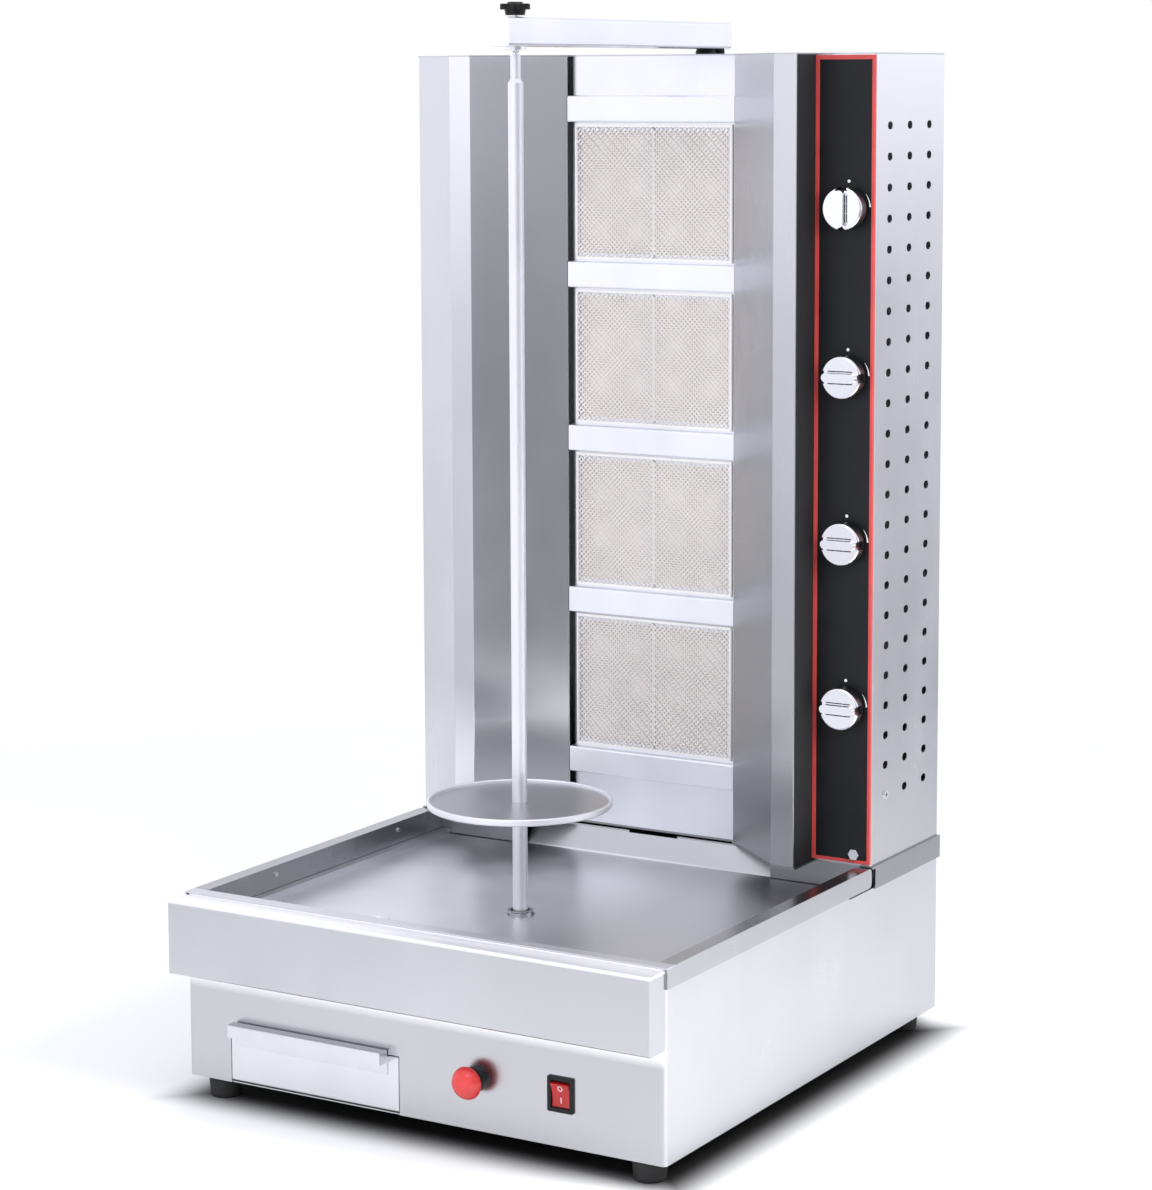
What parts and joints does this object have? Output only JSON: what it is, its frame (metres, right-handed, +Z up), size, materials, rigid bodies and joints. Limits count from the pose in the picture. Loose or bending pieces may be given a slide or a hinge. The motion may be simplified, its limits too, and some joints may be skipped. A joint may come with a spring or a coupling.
{
  "type": "gas doner kebab grill",
  "caption": "Upright gas grill for stacked meat: ceramic burners in a tower face a motor-driven vertical spit over a drip pan with a grease drawer.",
  "frame": {"origin": "on the bench under the middle of the machine's outline, between the four feet", "axes": "+X to the right as seen from the front, +Y to the back where the gas inlet is, +Z up along the spit"},
  "size_m": [0.55, 0.6468, 1.0817],
  "materials": {
    "brushed_sheet": "fine brushed stainless sheet",
    "plain_sheet": "dull stainless sheet",
    "pan_sheet": "smooth stainless with wide soft reflections",
    "mirror_sheet": "polished stainless that mirrors",
    "bright_steel": "turned and polished stainless",
    "cast_alloy": "die-cast, matt",
    "motor_paint": "black enamel",
    "rubber": "black moulded rubber",
    "guard_wire": "heat-dulled steel wire",
    "ceramic": "cream porous ceramic",
    "brass": "plain machined brass",
    "black_plastic": "black moulding",
    "black_panel": "smooth black laminate",
    "red_trim": "red edging strip",
    "red_key": "clear red plastic",
    "red_button": "glossy red plastic",
    "knob_chrome": "chromed moulding"
  },
  "bodies": {
    "grill": {"arm_bush": "bright_steel", "arm_spacer": "black_plastic", "base_back": "plain_sheet", "base_floor": "plain_sheet", "base_wrap": "brushed_sheet", "burner_guards": "guard_wire", "burner_housings": "plain_sheet", "button_body": "black_plastic", "cable_gland": "black_plastic", "ceramic_tiles": "ceramic", "column_panel": "mirror_sheet", "control_strip": "black_panel", "cross_bars": "mirror_sheet", "drain_spout": "plain_sheet", "drawer_runners": "plain_sheet", "drip_pan": "pan_sheet", "drive_motor": "motor_paint", "feet": "rubber", "front_apron": "brushed_sheet", "gas_inlet": "brass", "gas_manifold": "plain_sheet", "gas_valves": "brass", "gearbox": "cast_alloy", "injector_pipes": "brass", "motor_bracket": "plain_sheet", "rocker_body": "black_plastic", "spindle_collar": "bright_steel", "strip_trim": "red_trim", "top_arm": "brushed_sheet", "tower_back": "plain_sheet", "tower_base": "plain_sheet", "tower_screws": "bright_steel", "tower_side_left": "brushed_sheet", "tower_side_right": "brushed_sheet", "tower_top": "brushed_sheet", "tray_frame": "brushed_sheet", "tray_rivets": "bright_steel", "wing_left": "mirror_sheet", "wing_right": "mirror_sheet"},
    "spit": {"spit_rod": "bright_steel", "spit_disc": "bright_steel", "disc_hub": "bright_steel", "drive_spindle": "bright_steel"},
    "locating_pin": {"lift_pin": "bright_steel", "pin_knob": "black_plastic"},
    "drawer": {"drawer_box": "plain_sheet", "drawer_front": "brushed_sheet", "drawer_handle": "brushed_sheet"},
    "push_button": {"button_head": "red_button"},
    "rocker": {"rocker_key": "red_key"},
    "gas_knob_1": {"knob_1_cap": "knob_chrome", "knob_1_skirt": "black_plastic"},
    "gas_knob_2": {"knob_2_cap": "knob_chrome", "knob_2_skirt": "black_plastic"},
    "gas_knob_3": {"knob_3_cap": "knob_chrome", "knob_3_skirt": "black_plastic"},
    "gas_knob_4": {"knob_4_cap": "knob_chrome", "knob_4_skirt": "black_plastic"}
  },
  "joints": [
    {"name": "spit_spin", "type": "hinge", "parent": "grill", "child": "spit", "pos_m": [0, -0.105, 0.18], "axis": [0, 0, 1], "continuous": true},
    {"name": "pin_lift", "type": "slide", "parent": "grill", "child": "locating_pin", "axis": [0, 0, 1], "range_m": [0, 0.018]},
    {"name": "drawer_pull", "type": "slide", "parent": "grill", "child": "drawer", "axis": [0, -1, 0], "range_m": [0, 0.2]},
    {"name": "button_press", "type": "slide", "parent": "grill", "child": "push_button", "axis": [0, 1, 0], "range_m": [0, 0.004], "stiffness_N_per_m": 800, "springref_m": -0.002},
    {"name": "rocker_flip", "type": "hinge", "parent": "grill", "child": "rocker", "pos_m": [0.1615, -0.2895, 0.0725], "axis": [1, 0, 0], "range_deg": [-18, 0]},
    {"name": "knob_1_turn", "type": "hinge", "parent": "grill", "child": "gas_knob_1", "pos_m": [0.244, 0.12, 0.8785], "axis": [0, 1, 0], "range_deg": [0, 90]},
    {"name": "knob_2_turn", "type": "hinge", "parent": "grill", "child": "gas_knob_2", "pos_m": [0.244, 0.12, 0.71], "axis": [0, 1, 0], "range_deg": [-90, 0]},
    {"name": "knob_3_turn", "type": "hinge", "parent": "grill", "child": "gas_knob_3", "pos_m": [0.244, 0.12, 0.5415], "axis": [0, 1, 0], "range_deg": [-90, 0]},
    {"name": "knob_4_turn", "type": "hinge", "parent": "grill", "child": "gas_knob_4", "pos_m": [0.244, 0.12, 0.373], "axis": [0, 1, 0], "range_deg": [-90, 0]}
  ]
}
